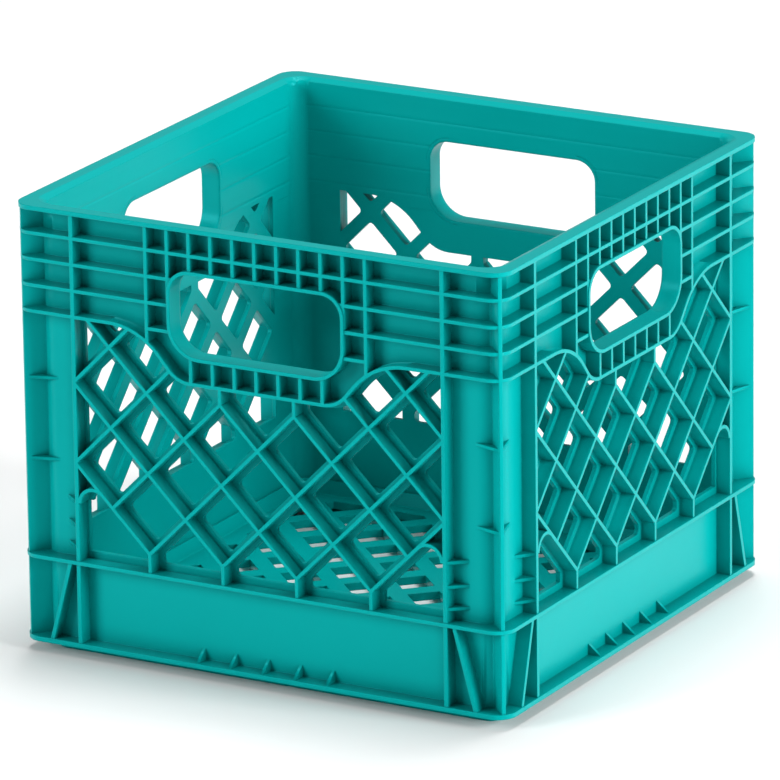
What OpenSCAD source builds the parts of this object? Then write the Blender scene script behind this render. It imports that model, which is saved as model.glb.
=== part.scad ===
// Square dairy bottle crate: one ribbed plastic moulding, drawn as the regions it is made up of.
// Origin: centre of the foot's bottom face. +Z up, front face towards -Y. Units: mm.

/* [Overall] */
// Outside width and depth across the rim
outer_w = 330; // [250:1:480]
// Height from the foot's bottom face to the rim
outer_h = 279; // [180:1:400]
// Outer corner radius of the rim and flanges
corner_r = 12; // [6:0.5:30]

/* [Wall] */
// Thickness of the smooth inner skin
skin_t = 2.9; // [2:0.1:5]
// Depth of the ribs outside the skin
rib_depth = 9.8; // [6:0.1:16]
// Thickness of the band and lattice ribs
rib_t = 2.2; // [1.5:0.1:4]
// How far the rim and flanges stand proud of the ribs
flange_proud = 0.6; // [0.2:0.1:2]
// Inner corner radius of the cavity
cavity_r = 10; // [6:0.5:20]

/* [Rim] */
// Thickness of the rim flange
rim_t = 2.8; // [2:0.1:6]
// Width of the flat top of the rim
rim_flat = 8; // [4:0.1:12]
// Drop of the sloping lead-in inside the rim
lead_in_h = 2; // [0.5:0.1:6]

/* [Corner posts] */
// Distance from the middle of a side to the post's inner plane
post_x = 123.2; // [100:0.1:160]
// Thickness of the upright rib at each post edge
post_rib_t = 2.7; // [2:0.1:5]
// Thickness of the diagonal rib on the corner
corner_rib_t = 2.4; // [2:0.1:5]
// Heights of the small fins on the corner rib
fin_z = [120.4, 171];
// Heights of the short gussets beside the post rib
gusset_z = [70, 83.6, 98.5];
// Thickness of the fins and gussets
fin_t = 2; // [1:0.1:4]
// Reach of the gussets from the post's inner plane
gusset_len = 13; // [6:0.5:20]
// Distance of the slanted rib from the middle of a side, at its top and at its bottom
slant_x = [130.3, 144.1];
// Width of the slanted rib
slant_t = 2.6; // [1.5:0.1:5]
// Distance of the fins' inner end from the middle of a side
fin_x = 141; // [130:0.5:150]
// How far the fins' outer corner is cut back from the ribs, along the wall and through it
fin_cut = [5, 4];

/* [Handle band] */
// Height of the lowest band rib
band_z = 213.8; // [180:0.1:260]
// Spacing of the horizontal band ribs
band_pitch = 16.1; // [10:0.1:24]
// Height of the band's lower edge under the handle
band_low_z = 183.5; // [150:0.1:230]
// Half width of the straight part of that lower edge
band_low_x = 45; // [20:0.5:60]
// Radius of the curve out of the straight part
band_r1 = 19; // [8:0.5:40]
// Radius of the curve up to the plain band
band_r2 = 45; // [20:0.5:80]
// Steepest angle of the lower edge
band_angle = 50; // [30:1:70]
// Spacing of the upright ribs round the handle
cell_pitch = 14.77; // [10:0.01:20]

/* [Handle] */
// Half width of the handle tube, to the middle of its wall
grip_x = 58.5; // [40:0.5:75]
// Height of the bottom of the handle tube
grip_z0 = 199; // [180:0.1:230]
// Height of the top of the handle tube
grip_z1 = 251.6; // [235:0.1:265]
// Radius of its lower corners
grip_r0 = 20; // [8:0.5:24]
// Radius of its upper corners
grip_r1 = 14; // [8:0.5:24]

/* [Lattice] */
// Half of the lattice diagonal
half_diag = 25; // [15:0.5:40]
// Height of the lowest row of crossings
lattice_z = 73.5; // [65:0.1:90]
// Width of the flat bars in the skin
bar_w = 8.5; // [5:0.1:14]
// Corner radius of the lattice holes
hole_r = 2.6; // [0.5:0.1:5]
// Skin left between the holes and the edge of the band
edge_skin = 2.9; // [1:0.1:6]
// Skin left between the lowest holes and the shelf
low_skin = 4.3; // [2:0.1:8]
// Radius of the rounded top of the corner openings
loop_r = 9.5; // [5:0.1:14]
// Height of the centre of that rounded top
loop_z = 98.3; // [85:0.1:110]

/* [Skirt] */
// Height of the underside of the wall above the ground
base_z = 7; // [4:0.1:15]
// Thickness of the bottom flange
flange_t = 3; // [2:0.1:5]
// Middle height of the shelf flange on top of the skirt
shelf_z = 60.5; // [40:0.1:90]
// Thickness of the shelf flange
shelf_t = 2.4; // [2:0.1:5]
// Spacing of the small gussets on the bottom flange
skirt_gusset_pitch = 22; // [12:0.5:40]
// Height of those gussets above the flange
skirt_gusset_h = 7; // [3:0.5:15]
// How far the gussets stop short of the flange's edge
skirt_gusset_inset = 1.5; // [0:0.1:4]
// Number of gussets on each side of the middle one
skirt_gusset_n = 2; // [0:1:5]

/* [Floor] */
// Height of the top of the floor grille
floor_z = 11; // [8:0.1:25]
// Thickness of the floor grille
floor_t = 5; // [3:0.1:8]
// Spacing of the diagonal floor bars
floor_pitch = 31.3; // [20:0.1:50]
// Width of the diagonal floor bars
floor_bar = 11; // [5:0.1:20]
// Width of the foot rail
foot_w = 5.5; // [4:0.1:12]
// Height of the sloping ledge round the floor
ledge_h = 8; // [3:0.5:15]
// Thickness of that ledge along its top
ledge_t = 1.6; // [0.5:0.1:4]
// Clearance between the foot and the rim it stacks in
foot_gap = 0.8; // [0.2:0.1:2]
// Inward taper of the foot
foot_taper = 1; // [0:0.1:3]
// Width of the plain border of the floor inside the foot
floor_border = 9; // [4:0.5:20]

/* [Output] */
// Sub-part to output

/* [Hidden] */

half = outer_w / 2;
rib_half = half - flange_proud;
skin_half = half - rib_depth;
cav_half = skin_half - skin_t;
corner_c = cav_half - cavity_r;
rim_z = outer_h - rim_t;
shelf_top = shelf_z + shelf_t / 2;
shelf_low = shelf_z - shelf_t / 2;
wide = 2 * half;
post_gap = 1.5;
band_cut_x = 3.5 * cell_pitch;
grip_mid_z = (grip_z0 + grip_z1) / 2;
teal = [0.02, 0.60, 0.58];
// Depth that a rib reaches into the skin it stands on
root = 1;
// Extra reach of a shape that another shape trims
over = 5;
// Steps in the rounded corner of a hole
hole_steps = 3;

// ---- plan shapes ----

// Square of half width h with round corners
module round_square(h, r) {
    square([2 * h, 2 * (h - r)], center = true);
    square([2 * (h - r), 2 * h], center = true);
    for (sx = [-1, 1], sy = [-1, 1])
        translate([sx * (h - r), sy * (h - r)])
            circle(r);
}

// Plan of the front right corner post: everything beyond the post planes
module corner_clip() {
    translate([post_x, -half - over])
        square([half + over - post_x, half + over - post_x]);
}

// Plan strip between an outer rounded square and the skin, cut to the corner
module corner_plate(h, r) {
    intersection() {
        difference() {
            round_square(h, r);
            round_square(skin_half - root, cavity_r + skin_t - root);
        }
        corner_clip();
    }
}

// ---- helpers that place a side ----

// k = 0 front, 1 right, 2 back, 3 left
module side(k) {
    rotate([0, 0, 90 * k])
        children();
}

// Extrudes a shape drawn in X and Z between two depths of the front wall
module on_face(y_out, y_in) {
    translate([0, -y_in, 0])
        rotate([90, 0, 0])
            linear_extrude(y_out - y_in)
                children();
}

// Quarter of the plan that belongs to the front side, out to the mitres
module front_wedge(z0, z1) {
    translate([0, 0, z0])
        linear_extrude(z1 - z0)
            polygon([[0, 0], [-wide, -wide], [wide, -wide]]);
}

// Sweeps a section (distance from the crate's middle, height) along the front and round both corners
module front_sweep(section) {
    translate([-corner_c, 0, 0])
        rotate([90, 0, 90])
            linear_extrude(2 * corner_c)
                scale([-1, 1])
                    polygon(section);
    for (s = [0, 1])
        mirror([s, 0, 0])
            translate([corner_c, -corner_c, 0])
                rotate([0, 0, -90])
                    rotate_extrude(angle = 90)
                        polygon([for (p = section) [p[0] - corner_c, p[1]]]);
}

// ---- sections ----

rim_in = half - rim_flat;
slope_low = outer_h - lead_in_h;
lip = 2;
lip_low = rim_z - lip;
rim_reach = half + 2 * over - root;
rim_section = [
    [rim_reach, rim_z], [rim_reach, outer_h], [rim_in, outer_h], [cav_half, slope_low],
    [cav_half, lip_low], [skin_half, lip_low], [skin_half, rim_z]];
rim_room = [
    [rim_reach, rim_z], [rim_reach, outer_h + lip], [cav_half - lip, outer_h + lip],
    [cav_half - lip, lip_low], [skin_half, lip_low], [skin_half, rim_z]];
foot_out = cav_half - foot_gap;
foot_in = foot_out - foot_w;
foot_section = [
    [foot_out, base_z], [foot_out - foot_taper, 0], [foot_in, 0], [foot_in, base_z]];
floor_low = floor_z - floor_t;
ledge_z = floor_z + ledge_h;
floor_in = corner_c + root;
grid_in = foot_in - floor_border;
floor_edge_section = [
    [cav_half, base_z], [cav_half, ledge_z], [cav_half - ledge_t, ledge_z],
    [foot_in + 1.2 * root, floor_z + root], [foot_in, floor_z], [floor_in, floor_z],
    [floor_in, floor_low], [foot_in, floor_low], [foot_in, base_z]];

// ---- shapes in the plane of the front wall (x, z) ----

c1 = [band_low_x, band_low_z + band_r1];
c2x = band_low_x + (band_r1 + band_r2) * sin(band_angle)
    + ((band_z - band_low_z) - (band_r1 + band_r2) * (1 - cos(band_angle))) / tan(band_angle);
c2 = [c2x, band_z - band_r2];

// Points of one half of the band's lower edge, o above its middle line
function edge_half(o) = concat(
    [[0, band_low_z + o]],
    [for (a = [0:band_angle / 8:band_angle + 0.01])
        c1 + (band_r1 - o) * [sin(a), -cos(a)]],
    [for (a = [band_angle:-band_angle / 12:-0.01])
        c2 + (band_r2 + o) * [-sin(a), cos(a)]],
    [[post_x, band_z + o]]);

// Everything above the band's lower edge
module above_edge(o, top) {
    pts = edge_half(o);
    n = len(pts);
    polygon(concat(
        pts, [[post_x, top], [-post_x, top]],
        [for (i = [n - 1:-1:1]) [-pts[i][0], pts[i][1]]]));
}

// Everything between the shelf and the band's lower edge
module below_edge(o, low, x) {
    difference() {
        translate([-x, low])
            square([2 * x, rim_z - low]);
        above_edge(o, rim_z + root);
    }
}

// Outline of the handle tube, o outside the middle of its wall
module grip_outline(o) {
    w = grip_x + o;
    z0 = grip_z0 - o;
    z1 = grip_z1 + o;
    r0 = grip_r0 + o;
    r1 = grip_r1 + o;
    translate([-w, z0 + r0])
        square([2 * w, z1 - z0 - r0 - r1]);
    translate([r0 - w, z0])
        square([2 * (w - r0), z1 - z0 - r1]);
    translate([r1 - w, z0 + r0])
        square([2 * (w - r1), z1 - z0 - r0]);
    for (s = [-1, 1]) {
        translate([s * (w - r0), z0 + r0])
            circle(r0);
        translate([s * (w - r1), z1 - r1])
            circle(r1);
    }
}

// Rounded opening in the lower corner of the lattice, o outside the middle of its rib
module corner_opening(o) {
    x0 = 3 * half_diag - o;
    cx = loop_z + loop_r * sqrt(2) + 3 * half_diag - lattice_z;
    r = loop_r + o;
    polygon(concat(
        [[x0, shelf_top - root], [x0, lattice_z + o * (sqrt(2) - 1)]],
        [for (a = [135:-15:0]) [cx + r * cos(a), loop_z + r * sin(a)]],
        [[post_x + root, loop_z], [post_x + root, shelf_top - root]]));
}

// Corners of a polygon rounded by arcs of n steps
function unit(v) = v / norm(v);
function rounded(pts, r, n) = [
    for (i = [0:len(pts) - 1])
        let (
            v = pts[i],
            a = unit(pts[(i + len(pts) - 1) % len(pts)] - v),
            b = unit(pts[(i + 1) % len(pts)] - v),
            h = acos(a * b) / 2,
            c = v + unit(a + b) * r / sin(h),
            s = v + a * r / tan(h) - c,
            e = v + b * r / tan(h) - c,
            t = acos(s * e / (r * r)),
            w = (s[0] * e[1] - s[1] * e[0]) < 0 ? -1 : 1)
        for (j = [0:n])
            c + [s[0] * cos(w * t * j / n) - s[1] * sin(w * t * j / n),
                 s[0] * sin(w * t * j / n) + s[1] * cos(w * t * j / n)]];

hole_d = half_diag - bar_w / sqrt(2);
stub_x = half_diag - bar_w / 2;
skin_low = shelf_top + low_skin;

// Diamond hole of the lattice
module diamond(x, z) {
    translate([x, z])
        polygon(rounded([[0, -hole_d], [hole_d, 0], [0, hole_d], [-hole_d, 0]], hole_r, hole_steps));
}

// Hole with a pointed top and upright sides, above the shelf
module house(x) {
    low = skin_low - lattice_z;
    shoulder = hole_d - stub_x;
    translate([x, lattice_z])
        polygon(rounded(
            [[-stub_x, low], [stub_x, low], [stub_x, shoulder], [0, hole_d], [-stub_x, shoulder]],
            hole_r, hole_steps));
}

// All the holes in the skin of the lattice
module lattice_holes() {
    d = half_diag;
    z4 = lattice_z + 4 * d;
    for (x = [-2 * d, 0, 2 * d])
        house(x);
    for (x = [-3 * d:2 * d:3 * d])
        diamond(x, lattice_z + d);
    for (x = [-4 * d:2 * d:4 * d])
        diamond(x, lattice_z + 2 * d);
    for (x = [-5 * d:2 * d:5 * d])
        diamond(x, lattice_z + 3 * d);
    for (s = [-1, 1]) {
        diamond(s * 4 * d, z4);
        diamond(s * 3 * d, z4 + d);
        diamond(s * 5 * d, z4 + d);
        diamond(s * 4 * d, z4 + 2 * d);
        translate([s * 2 * d, z4])
            scale([s, 1])
                polygon(rounded(
                    [[0, -hole_d], [hole_d, 0], [0, hole_d],
                     [-stub_x, hole_d], [-stub_x, stub_x - hole_d]],
                    hole_r, hole_steps));
    }
    translate([0, z4])
        polygon(rounded(
            [[0, -hole_d], [stub_x, stub_x - hole_d], [stub_x, hole_d],
             [-stub_x, hole_d], [-stub_x, stub_x - hole_d]],
            hole_r, hole_steps));
}

// Thin rib along a diagonal through (x, z): s = 1 rises to the right
module diagonal(x, z, s) {
    translate([x, z])
        rotate(45 * s)
            square([3 * wide, rib_t], center = true);
}

// Skin of the lattice
module lattice_skin() {
    difference() {
        below_edge(-rib_t / 2, shelf_top, post_x);
        intersection() {
            lattice_holes();
            below_edge(-rib_t / 2 - edge_skin, skin_low, post_x - post_gap);
        }
        for (s = [-1, 1])
            scale([s, 1])
                intersection() {
                    corner_opening(-bar_w / 2);
                    translate([0, skin_low])
                        square([post_x - post_gap, half]);
                }
    }
}

// Thin ribs of the lattice
module lattice_ribs() {
    d = half_diag;
    top = lattice_z + 4 * d;
    intersection() {
        below_edge(-rib_t / 2, shelf_top, post_x);
        union() {
            difference() {
                for (x = [-9 * d:2 * d:9 * d], s = [-1, 1])
                    diagonal(x, lattice_z, s);
                translate([-wide, lattice_z - wide])
                    square([2 * wide, wide]);
                translate([-band_low_x, top])
                    square([2 * band_low_x, wide]);
                for (s = [-1, 1])
                    scale([s, 1])
                        corner_opening(0);
            }
            for (x = [-d, d]) {
                translate([x - rib_t / 2, shelf_top - root])
                    square([rib_t, lattice_z - shelf_top + 1.4]);
                translate([x - rib_t / 2, top - 0.4])
                    square([rib_t, wide]);
            }
            for (s = [-1, 1])
                scale([s, 1])
                    difference() {
                        corner_opening(rib_t / 2);
                        corner_opening(-rib_t / 2);
                    }
        }
    }
}

// Ribs of the handle band
module band_ribs() {
    t = rib_t;
    side_x = 5 * cell_pitch;
    difference() {
        intersection() {
            above_edge(-t / 2, rim_z);
            union() {
                difference() {
                    above_edge(-t / 2 - root, rim_z);
                    above_edge(t / 2, rim_z + root);
                }
                for (i = [1:3])
                    translate([-post_x, band_z + i * band_pitch - t / 2])
                        square([2 * post_x, t]);
                for (s = [-1, 1])
                    translate([s * (side_x + grip_x) / 2, band_z])
                        square([side_x - grip_x, t], center = true);
                for (i = [-4:4])
                    translate([i * cell_pitch - t / 2, grip_z1 - 20])
                        square([t, wide]);
                for (i = [-3:3])
                    translate([i * cell_pitch - t / 2, band_low_z])
                        square([t, grip_z0 - band_low_z + 12]);
                for (s = [-1, 1])
                    translate([s * side_x - t / 2, band_low_z])
                        square([t, wide]);
            }
        }
        grip_outline(t / 2);
    }
}

// ---- sub-parts ----

// Top flange with its sloping lead-in, one side of the crate
module rim(k) {
    color(teal)
        side(k)
            intersection() {
                front_sweep(rim_section);
                translate([0, 0, lip_low - root])
                    linear_extrude(outer_h)
                        round_square(half, corner_r);
                front_wedge(0, outer_h + over);
            }
}

// Corner of the crate: skin, post ribs, diagonal rib, plates and fins
module post(k) {
    color(teal)
        side(k)
            difference() {
                union() {
                    translate([0, 0, base_z])
                        linear_extrude(rim_z - base_z)
                            post_plan();
                    for (i = [0:3])
                        translate([0, 0, band_z + i * band_pitch - rib_t / 2])
                            linear_extrude(rib_t)
                                corner_plate(rib_half, corner_r - flange_proud);
                    translate([0, 0, shelf_low])
                        linear_extrude(shelf_t)
                            corner_plate(half, corner_r);
                    translate([0, 0, base_z])
                        linear_extrude(flange_t)
                            corner_plate(half, corner_r);
                    for (m = [0, 1])
                        mirror([m, m, 0])
                            post_details();
                }
                front_sweep(rim_room);
                side(1)
                    front_sweep(rim_room);
            }
}

// Constant plan of the post
module post_plan() {
    intersection() {
        corner_clip();
        union() {
            difference() {
                round_square(skin_half, cavity_r + skin_t);
                round_square(cav_half, cavity_r);
            }
            translate([post_x, -rib_half])
                square([post_rib_t, rib_depth]);
            translate([skin_half - root, -post_x - post_rib_t])
                square([rib_depth - flange_proud + root, post_rib_t]);
            intersection() {
                difference() {
                    round_square(rib_half, corner_r - flange_proud);
                    round_square(cav_half + root, cavity_r + root);
                }
                rotate(-45)
                    translate([0, -corner_rib_t / 2])
                        square([2 * wide, corner_rib_t]);
            }
        }
    }
}

// Slanted rib, fins and gussets on the front face of the post
module post_details() {
    on_face(rib_half, skin_half - root)
        polygon([
            [slant_x[0] - slant_t / 2, shelf_low + 0.5], [slant_x[0] + slant_t / 2, shelf_low + 0.5],
            [slant_x[1] + slant_t / 2, base_z + flange_t - 0.5],
            [slant_x[1] - slant_t / 2, base_z + flange_t - 0.5]]);
    for (z = gusset_z)
        translate([0, 0, z - fin_t / 2])
            linear_extrude(fin_t)
                polygon([
                    [post_x + root, -rib_half + 0.8 * root], [post_x + post_rib_t, -rib_half + 0.8 * root],
                    [post_x + gusset_len, -skin_half], [post_x + gusset_len, -skin_half + root],
                    [post_x + root, -skin_half + root]]);
    for (z = fin_z)
        translate([0, 0, z - fin_t / 2])
            linear_extrude(fin_t)
                polygon([
                    [rib_half - fin_cut[0], -rib_half + fin_cut[1]], [fin_x, -skin_half],
                    [fin_x, -skin_half + root], [skin_half - skin_t, -skin_half + root]]);
}

// Ribbed panel round the handle of the front side, from the lattice up to the rim
module band() {
    difference() {
        union() {
            on_face(skin_half, cav_half)
                difference() {
                    above_edge(-rib_t / 2, rim_z);
                    grip_outline(rib_t / 2);
                }
            on_face(rib_half, skin_half - root)
                band_ribs();
        }
        front_sweep(rim_room);
    }
}

// The stretch of the band between two distances along the side and two heights
module band_part(x0, x1, z0, z1) {
    intersection() {
        band();
        translate([x0, -wide, z0])
            cube([x1 - x0, wide, z1 - z0]);
    }
}

// Two rows of cells over the handle
module header(k) {
    color(teal)
        side(k)
            band_part(-band_cut_x, band_cut_x, grip_mid_z, outer_h);
}

// Row of cells under the handle
module sill(k) {
    color(teal)
        side(k)
            band_part(-band_cut_x, band_cut_x, 0, grip_mid_z);
}

// Band beside the handle: s = 1 right and -1 left, seen from outside
module cheek(k, s) {
    color(teal)
        side(k)
            band_part(s > 0 ? band_cut_x : -wide, s > 0 ? wide : -band_cut_x, 0, outer_h);
}

// Oblong tube that forms the hand hold
module grip(k) {
    color(teal)
        side(k)
            on_face(half, cav_half)
                difference() {
                    grip_outline(rib_t / 2);
                    grip_outline(-rib_t / 2);
                }
}

// Open diagonal lattice between the posts
module lattice(k) {
    color(teal)
        side(k) {
            on_face(skin_half, cav_half)
                lattice_skin();
            on_face(rib_half, skin_half - root)
                lattice_ribs();
        }
}

// Plain panel at the bottom of a wall with its two flanges
module skirt(k) {
    top = base_z + flange_t + skirt_gusset_h;
    tip = skirt_gusset_inset - half;
    color(teal)
        side(k) {
            translate([-post_x, -skin_half, base_z])
                cube([2 * post_x, skin_t, shelf_top - base_z]);
            translate([-post_x, -half, base_z])
                cube([2 * post_x, rib_depth + root, flange_t]);
            translate([-post_x, -half, shelf_low])
                cube([2 * post_x, rib_depth + root, shelf_t]);
            for (i = [-skirt_gusset_n:skirt_gusset_n])
                translate([i * skirt_gusset_pitch - fin_t / 2, 0, 0])
                    rotate([90, 0, 90])
                        linear_extrude(fin_t)
                            polygon([
                                [root - skin_half, base_z + root], [tip, base_z + root],
                                [tip, base_z + flange_t], [-skin_half, top],
                                [root - skin_half, top]]);
        }
}

// Rail under the floor's edge that the crate stands on
module foot(k) {
    color(teal)
        side(k)
            intersection() {
                front_sweep(foot_section);
                front_wedge(-root, base_z + root);
            }
}

// Diagonal floor grid with its raised edge
module floor_grille() {
    n = ceil(half * sqrt(2) / floor_pitch);
    hole = floor_pitch - floor_bar;
    color(teal)
        union() {
            for (k = [0:3])
                side(k)
                    front_sweep(floor_edge_section);
            translate([0, 0, floor_low])
                linear_extrude(floor_t)
                    difference() {
                        square(2 * (floor_in + root), center = true);
                        intersection() {
                            square(2 * grid_in, center = true);
                            rotate(45)
                                for (i = [-n:n - 1], j = [-n:n - 1])
                                    translate([(i + 0.5) * floor_pitch, (j + 0.5) * floor_pitch])
                                        square(hole, center = true);
                        }
                    }
        }
}

rim(0);  // rim_front
rim(1);  // rim_right
rim(2);  // rim_back
rim(3);  // rim_left
post(0);  // post_front_right
post(1);  // post_back_right
post(2);  // post_back_left
post(3);  // post_front_left
header(0);  // header_front
header(1);  // header_right
header(2);  // header_back
header(3);  // header_left
sill(0);  // sill_front
sill(1);  // sill_right
sill(2);  // sill_back
sill(3);  // sill_left
cheek(0, 1);  // cheek_front_right
cheek(0, -1);  // cheek_front_left
cheek(1, 1);  // cheek_right_right
cheek(1, -1);  // cheek_right_left
cheek(2, 1);  // cheek_back_right
cheek(2, -1);  // cheek_back_left
cheek(3, 1);  // cheek_left_right
cheek(3, -1);  // cheek_left_left
grip(0);  // grip_front
grip(1);  // grip_right
grip(2);  // grip_back
grip(3);  // grip_left
lattice(0);  // lattice_front
lattice(1);  // lattice_right
lattice(2);  // lattice_back
lattice(3);  // lattice_left
skirt(0);  // skirt_front
skirt(1);  // skirt_right
skirt(2);  // skirt_back
skirt(3);  // skirt_left
foot(0);  // foot_front
foot(1);  // foot_right
foot(2);  // foot_back
foot(3);  // foot_left
floor_grille();
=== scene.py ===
"""Looks of a square dairy crate: one plastic moulding, shown as the regions that the CAD model names."""

import math

import bmesh
import bpy
import numpy as np
from mathutils import Matrix, Vector


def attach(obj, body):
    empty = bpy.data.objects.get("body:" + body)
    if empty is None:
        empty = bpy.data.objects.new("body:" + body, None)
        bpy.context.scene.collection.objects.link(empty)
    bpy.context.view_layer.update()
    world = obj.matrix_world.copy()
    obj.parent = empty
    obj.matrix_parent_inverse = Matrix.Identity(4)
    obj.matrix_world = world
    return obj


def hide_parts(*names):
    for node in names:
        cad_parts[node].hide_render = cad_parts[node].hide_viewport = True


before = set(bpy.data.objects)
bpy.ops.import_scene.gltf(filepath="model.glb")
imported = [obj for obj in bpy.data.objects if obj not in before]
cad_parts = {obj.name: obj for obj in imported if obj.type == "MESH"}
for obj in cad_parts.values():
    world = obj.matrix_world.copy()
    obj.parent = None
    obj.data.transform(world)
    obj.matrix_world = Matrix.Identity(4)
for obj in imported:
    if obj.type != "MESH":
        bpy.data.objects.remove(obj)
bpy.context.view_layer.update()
scene = bpy.context.scene

# ---- sizes, in metres and degrees ----

CAMERA_AZIMUTH = 29.29
CAMERA_ELEVATION = 17.56
CAMERA_ROLL = -0.77
CAMERA_DISTANCE = 5.21
CAMERA_LENS = 399.4  # in millimetres, for a sensor 36 mm wide
CAMERA_AIM = Vector((0, 0, 0.140))
CAMERA_AIM_RIGHT = -0.0021

WELD = 0.000004  # points closer than this are one point
FLAT_ANGLE = 0.4  # faces within this angle are one flat face
EDGE_ANGLE = 20  # faces that meet at more than this have an edge between them
FLAT_NORMAL = 1.0  # a face with most corners within this angle of its normal is flat
SQUARE_NORMAL = 0.05  # a face whose normal is within this angle of an axis is flat
SAME_NORMAL = 0.99999  # cosine above which two shading normals are one

EDGE_RADIUS = 0.0008  # rounding of the moulding's edges and inside corners
LIP_RADIUS = 0.0022  # rounding of the hand hold's edge inside the crate
INNER_WALL = 0.1523  # from the crate's middle to the inside of a wall
LIP_DEPTH = 0.003  # the lip: this near the inner wall, and within this box
LIP_HALF_WIDTH = 0.0625
LIP_MIDDLE_Z = 0.2265
LIP_HALF_HEIGHT = 0.0315

BAND_Z = 0.2138  # the lowest rib of the band
BAND_PITCH = 0.0161  # spacing of the ribs above it
SINK_LOW_Z = 0.205  # lower end of the wall that has sink marks
SINK_HALF_WIDTH = 0.0013
SINK_DEPTH = 0.00025
WALL_SLACK = 0.0002  # a point this near the inner wall is on it

TEAL = (0.0, 0.37, 0.36, 1)
TEAL_DEEP = (0.0, 0.34, 0.33, 1)
DRIFT_SCALE = 14  # noise scales are in waves per metre, near enough
PAINTED_SHADE_REACH = 0.012  # painted shade darkens pockets and creases over this reach
PAINTED_SHADE_DEEPEST = 0.42  # the share of the colour that is left in the deepest painted shade
# samples for the painted shade in pockets and creases
PAINTED_SHADE_SAMPLES = 4
BEVEL_SAMPLES = 6
GLOSS_SCALE = 90
SMOOTHEST = 0.27
ROUGHEST = 0.36
WAVE_SCALE = 28
WAVE_STRENGTH = 0.25
WAVE_DEPTH = 0.001
GRAIN_SCALE = 1800
GRAIN_STRENGTH = 0.12
GRAIN_DEPTH = 0.0001
PLASTIC_IOR = 1.5
SHINE = 0.25
SHINE_TINT = (0.05, 0.9, 1, 1)

FLOOR_HALF = 12
FLOOR_GREY = 0.9
LIGHT_DISTANCE = 6
LIGHT_SIZE = 2.5
WORLD_STRENGTH = 0.2
LIGHTS = {  # direction from the crate, and power in watts
    "key": ((0.96, -0.02, 0.27), 420),
    "fill": ((-0.55, -0.76, 0.34), 210),
    "top": ((0, 0.2, 0.98), 250),
}


# ---- camera ----

def make_camera():
    """The photo's view: a long lens, looking down a little at the front right corner."""
    data = bpy.data.cameras.new("camera")
    data.lens = CAMERA_LENS
    data.sensor_width = 36
    data.clip_start = 0.1
    data.clip_end = 40
    camera = bpy.data.objects.new("camera", data)
    scene.collection.objects.link(camera)
    a = math.radians(CAMERA_AZIMUTH)
    e = math.radians(CAMERA_ELEVATION)
    back = Vector((math.sin(a) * math.cos(e), -math.cos(a) * math.cos(e), math.sin(e)))
    right = Vector((math.cos(a), math.sin(a), 0))
    look = (-back).to_track_quat("-Z", "Y").to_matrix()
    roll = Matrix.Rotation(math.radians(CAMERA_ROLL), 3, "Z")
    camera.matrix_world = Matrix.Translation(
        CAMERA_AIM + right * CAMERA_AIM_RIGHT + back * CAMERA_DISTANCE
    ) @ (look @ roll).to_4x4()
    scene.camera = camera


make_camera()


# ---- moulding ----

def clean(bm, weld, angle):
    """One point where several lie together, and one face where several lie in a plane."""
    bmesh.ops.remove_doubles(bm, verts=bm.verts, dist=weld)
    bmesh.ops.dissolve_degenerate(bm, edges=bm.edges, dist=weld)
    bmesh.ops.dissolve_limit(
        bm,
        angle_limit=math.radians(angle),
        verts=bm.verts,
        edges=bm.edges,
        delimit={"MATERIAL"},
    )


def numbered_copy(node, number):
    """A closed copy of a CAD node whose faces all carry the node's number."""
    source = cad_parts[node]
    bm = bmesh.new()
    bm.from_mesh(source.data)
    clean(bm, WELD / 10, FLAT_ANGLE)
    for face in bm.faces:
        face.material_index = number
        face.smooth = True
    mesh = bpy.data.meshes.new("solid")
    bm.to_mesh(mesh)
    bm.free()
    for marker in markers:
        mesh.materials.append(marker)
    solid = bpy.data.objects.new("solid", mesh)
    scene.collection.objects.link(solid)
    return solid


def evaluated(obj):
    """A new mesh that holds the object with its modifiers applied."""
    graph = bpy.context.evaluated_depsgraph_get()
    return bpy.data.meshes.new_from_object(
        obj.evaluated_get(graph), preserve_all_data_layers=True, depsgraph=graph
    )


def join_solids(solids):
    """One closed surface round all the solids, with no walls left where they meet."""
    others = bpy.data.collections.new("others")
    scene.collection.children.link(others)
    for solid in solids[1:]:
        others.objects.link(solid)
    union = solids[0].modifiers.new("union", "BOOLEAN")
    union.operation = "UNION"
    union.operand_type = "COLLECTION"
    union.collection = others
    union.solver = "MANIFOLD"
    mesh = evaluated(solids[0])
    for solid in solids:
        bpy.data.objects.remove(solid)
    bpy.data.collections.remove(others)
    return mesh


def mark_edges(mesh):
    """Smooth curves and crisp edges on the whole moulding, across its regions."""
    bm = bmesh.new()
    bm.from_mesh(mesh)
    clean(bm, WELD, FLAT_ANGLE)
    for face in bm.faces:
        face.smooth = True
    bm.to_mesh(mesh)
    bm.free()
    mesh.set_sharp_from_angle(angle=math.radians(EDGE_ANGLE))
    whole = bpy.data.objects.new("whole", mesh)
    scene.collection.objects.link(whole)
    even = whole.modifiers.new("even", "WEIGHTED_NORMAL")
    even.thresh = 0.001
    even.mode = "FACE_AREA"
    even.weight = 100
    even.keep_sharp = True
    shaded = evaluated(whole)
    bpy.data.objects.remove(whole)
    return shaded


def numbers(collection, key, width=1, kind=np.int32):
    """A property of all the items in a mesh's collection, as an array."""
    out = np.zeros(len(collection) * width, kind)
    collection.foreach_get(key, out)
    return out.reshape(-1, width) if width > 1 else out


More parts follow.
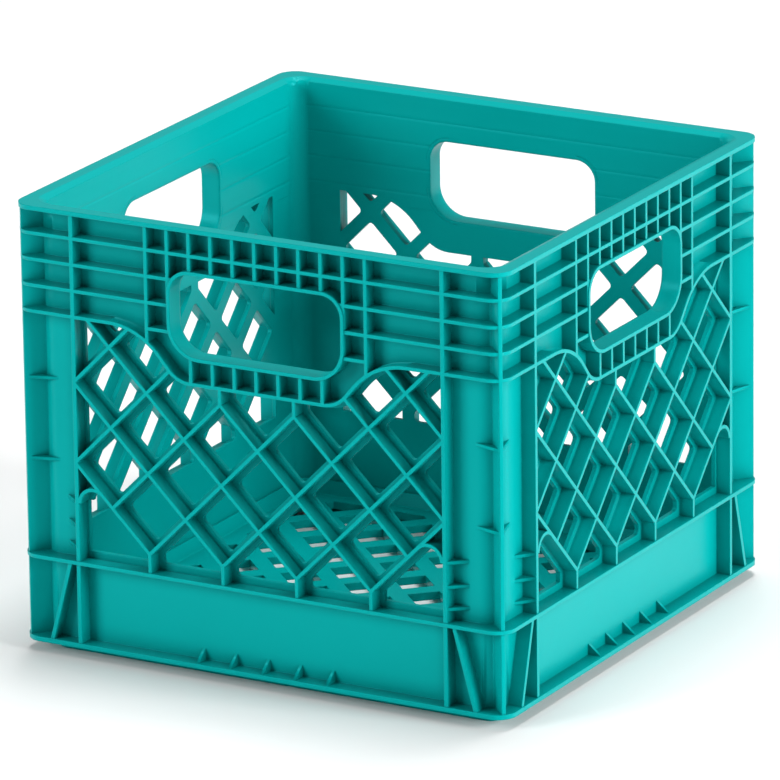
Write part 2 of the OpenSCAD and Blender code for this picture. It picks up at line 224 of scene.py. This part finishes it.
def corner_normals(whole):
    """Shading normals at each face corner: exact on flat faces, blended round curves."""
    total = numbers(whole.polygons, "loop_total")
    start = numbers(whole.polygons, "loop_start")
    own = numbers(whole.polygons, "normal", 3, np.float32)
    face_of = np.repeat(np.arange(len(total)), total)
    normals = numbers(whole.corner_normals, "vector", 3, np.float32)
    agree = (normals * own[face_of]).sum(1) > math.cos(math.radians(FLAT_NORMAL))
    flat = np.add.reduceat(agree.astype(float), start) / total > 0.5
    flat |= np.abs(own).max(1) > math.cos(math.radians(SQUARE_NORMAL))
    return np.where(flat[face_of][:, None], own[face_of], normals)


def mark_creases(mesh, faces, normals):
    """Sharp edges wherever the shading normals of two neighbouring faces differ."""
    at = {}
    corner = 0
    for face in faces:
        count = len(face)
        for i in range(count):
            a, b = face[i], face[(i + 1) % count]
            pair = (normals[corner + i], normals[corner + (i + 1) % count])
            at.setdefault((min(a, b), max(a, b)), []).append(pair if a < b else pair[::-1])
        corner += count
    sharp = []
    for edge in mesh.edges:
        sides = at[(min(edge.vertices), max(edge.vertices))]
        same = len(sides) == 2 and all(
            float(m @ n) > SAME_NORMAL for m, n in zip(sides[0], sides[1])
        )
        sharp.append(not same)
    mesh.edges.foreach_set("use_edge_sharp", sharp)


def cut_region(whole, normals, number, name):
    """The faces that belong to one CAD node, with the normals they have on the whole moulding."""
    owner = numbers(whole.polygons, "material_index")
    start = numbers(whole.polygons, "loop_start")
    total = numbers(whole.polygons, "loop_total")
    corner_point = numbers(whole.loops, "vertex_index")
    points = numbers(whole.vertices, "co", 3, np.float32)
    chosen = np.flatnonzero(owner == number)
    corners = np.concatenate([np.arange(start[f], start[f] + total[f]) for f in chosen])
    used, index = np.unique(corner_point[corners], return_inverse=True)
    ends = np.cumsum(total[chosen])
    faces = [index[e - n:e].tolist() for e, n in zip(ends, total[chosen])]
    mesh = bpy.data.meshes.new(name)
    mesh.from_pydata(points[used].tolist(), [], faces)
    mesh.polygons.foreach_set("use_smooth", [True] * len(faces))
    mark_creases(mesh, faces, normals[corners])
    mesh.normals_split_custom_set(normals[corners].tolist())
    mesh.update()
    piece = bpy.data.objects.new(name, mesh)
    scene.collection.objects.link(piece)
    return piece


nodes = sorted(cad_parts)
markers = [bpy.data.materials.new(f"marker_{n}") for n in range(len(nodes))]
moulding = mark_edges(join_solids([numbered_copy(node, i) for i, node in enumerate(nodes)]))


# ---- plastic ----

def calc(tree, operation, *values):
    """Output of a Math node, fed with numbers and other nodes' outputs."""
    made = tree.nodes.new("ShaderNodeMath")
    made.operation = operation
    for socket, value in zip(made.inputs, values):
        if isinstance(value, bpy.types.NodeSocket):
            tree.links.new(value, socket)
        else:
            socket.default_value = value
    return made.outputs["Value"]


def noise(tree, place, scale, detail):
    """Output of a Noise node, from 0 to 1."""
    made = tree.nodes.new("ShaderNodeTexNoise")
    made.inputs["Scale"].default_value = scale
    made.inputs["Detail"].default_value = detail
    tree.links.new(place, made.inputs["Vector"])
    return made.outputs["Fac"]


def ranged(tree, value, low, high):
    """The value, from 0 to 1, brought between low and high."""
    made = tree.nodes.new("ShaderNodeMapRange")
    made.inputs["To Min"].default_value = low
    made.inputs["To Max"].default_value = high
    tree.links.new(value, made.inputs["Value"])
    return made.outputs["Result"]


def bump(tree, height, strength, distance, normal):
    """The normal, tilted by a height."""
    made = tree.nodes.new("ShaderNodeBump")
    made.inputs["Strength"].default_value = strength
    made.inputs["Distance"].default_value = distance
    tree.links.new(height, made.inputs["Height"])
    tree.links.new(normal, made.inputs["Normal"])
    return made.outputs["Normal"]


def plastic_colour(tree, place):
    """Even teal with a slow drift, and painted shade that darkens it deep in the pockets and creases."""
    colour = tree.nodes.new("ShaderNodeMix")
    colour.data_type = "RGBA"
    colour.inputs["A"].default_value = TEAL_DEEP
    colour.inputs["B"].default_value = TEAL
    tree.links.new(noise(tree, place, DRIFT_SCALE, 3), colour.inputs["Factor"])
    # Painted shade: an ambient occlusion reading darkens the colour deep in pockets and creases.
    painted_shade_reading = tree.nodes.new("ShaderNodeAmbientOcclusion")
    painted_shade_reading.samples = PAINTED_SHADE_SAMPLES
    painted_shade_reading.inputs["Distance"].default_value = PAINTED_SHADE_REACH
    shade_painted_colour = tree.nodes.new("ShaderNodeVectorMath")
    shade_painted_colour.operation = "SCALE"
    tree.links.new(colour.outputs["Result"], shade_painted_colour.inputs["Vector"])
    tree.links.new(ranged(tree, painted_shade_reading.outputs["AO"], PAINTED_SHADE_DEEPEST, 1), shade_painted_colour.inputs["Scale"])
    return shade_painted_colour.outputs["Vector"]


def edge_radius(tree, out, along, z):
    """Rounding of the edges: wider round the hand holds' inner mouths."""
    lip = calc(tree, "COMPARE", out, INNER_WALL, LIP_DEPTH)
    lip = calc(tree, "MULTIPLY", lip, calc(tree, "LESS_THAN", along, LIP_HALF_WIDTH))
    lip = calc(tree, "MULTIPLY", lip, calc(tree, "COMPARE", z, LIP_MIDDLE_Z, LIP_HALF_HEIGHT))
    return ranged(tree, lip, EDGE_RADIUS, LIP_RADIUS)


def sink_marks(tree, out, z):
    """Height of the inner wall, which dips behind each rib of the band."""
    to_rib = calc(tree, "PINGPONG", calc(tree, "SUBTRACT", z, BAND_Z), BAND_PITCH / 2)
    rise = calc(tree, "SMOOTH_MIN", calc(tree, "DIVIDE", to_rib, SINK_HALF_WIDTH), 1, 0.5)
    inside = calc(tree, "COMPARE", out, INNER_WALL, WALL_SLACK)
    inside = calc(tree, "MULTIPLY", inside, calc(tree, "GREATER_THAN", z, SINK_LOW_Z))
    return calc(tree, "MULTIPLY", rise, inside)


def plastic_relief(tree, place):
    """Rounded edges, sink marks behind the ribs, a slow wave and a fine moulded grain."""
    split = tree.nodes.new("ShaderNodeSeparateXYZ")
    tree.links.new(place, split.inputs["Vector"])
    x = calc(tree, "ABSOLUTE", split.outputs["X"])
    y = calc(tree, "ABSOLUTE", split.outputs["Y"])
    z = split.outputs["Z"]
    out = calc(tree, "MAXIMUM", x, y)
    along = calc(tree, "MINIMUM", x, y)

    soft = tree.nodes.new("ShaderNodeBevel")
    soft.samples = BEVEL_SAMPLES
    tree.links.new(edge_radius(tree, out, along, z), soft.inputs["Radius"])
    sunk = bump(tree, sink_marks(tree, out, z), 1, SINK_DEPTH, soft.outputs["Normal"])
    wave = noise(tree, place, WAVE_SCALE, 1)
    waved = bump(tree, wave, WAVE_STRENGTH, WAVE_DEPTH, sunk)
    grain = noise(tree, place, GRAIN_SCALE, 2)
    return bump(tree, grain, GRAIN_STRENGTH, GRAIN_DEPTH, waved)


def moulded_plastic():
    """Teal HDPE with a soft gloss, its colour darkened by painted shade in the pockets."""
    material = bpy.data.materials.new("crate_plastic")
    material.use_nodes = True
    tree = material.node_tree
    shader = tree.nodes["Principled BSDF"]
    place = tree.nodes.new("ShaderNodeTexCoord").outputs["Object"]
    tree.links.new(plastic_colour(tree, place), shader.inputs["Base Color"])
    gloss = ranged(tree, noise(tree, place, GLOSS_SCALE, 4), SMOOTHEST, ROUGHEST)
    tree.links.new(gloss, shader.inputs["Roughness"])
    tree.links.new(plastic_relief(tree, place), shader.inputs["Normal"])
    shader.inputs["IOR"].default_value = PLASTIC_IOR
    shader.inputs["Specular IOR Level"].default_value = SHINE
    shader.inputs["Specular Tint"].default_value = SHINE_TINT
    return material


plastic = moulded_plastic()
shading = corner_normals(moulding)
for number, node in enumerate(nodes):
    piece = cut_region(moulding, shading, number, f"{node}_shell")
    piece.data.materials.append(plastic)
    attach(piece, "root")
    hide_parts(node)
bpy.data.meshes.remove(moulding)


# ---- room ----

def pale_floor():
    """A plain pale floor, far wider than the view."""
    material = bpy.data.materials.new("pale_floor")
    material.use_nodes = True
    shader = material.node_tree.nodes["Principled BSDF"]
    shader.inputs["Base Color"].default_value = (FLOOR_GREY, FLOOR_GREY, FLOOR_GREY, 1)
    shader.inputs["Roughness"].default_value = 0.9
    mesh = bpy.data.meshes.new("floor")
    s = FLOOR_HALF
    mesh.from_pydata([(-s, -s, 0), (s, -s, 0), (s, s, 0), (-s, s, 0)], [], [(0, 1, 2, 3)])
    floor = bpy.data.objects.new("floor", mesh)
    scene.collection.objects.link(floor)
    mesh.materials.append(material)


def soft_light(name, direction, power):
    """A wide square lamp that faces the crate."""
    data = bpy.data.lights.new(name, "AREA")
    data.shape = "SQUARE"
    data.size = LIGHT_SIZE
    data.energy = power
    light = bpy.data.objects.new(name, data)
    scene.collection.objects.link(light)
    light.location = CAMERA_AIM + LIGHT_DISTANCE * Vector(direction)
    light.rotation_euler = (CAMERA_AIM - light.location).to_track_quat("-Z", "Y").to_euler()


def pale_world():
    """Even white light from all round."""
    world = bpy.data.worlds.new("studio")
    world.use_nodes = True
    world.node_tree.nodes["Background"].inputs["Color"].default_value = (1, 1, 1, 1)
    world.node_tree.nodes["Background"].inputs["Strength"].default_value = WORLD_STRENGTH
    scene.world = world


pale_floor()
pale_world()
for name, (direction, power) in LIGHTS.items():
    soft_light(name, direction, power)
scene.view_settings.view_transform = "Standard"
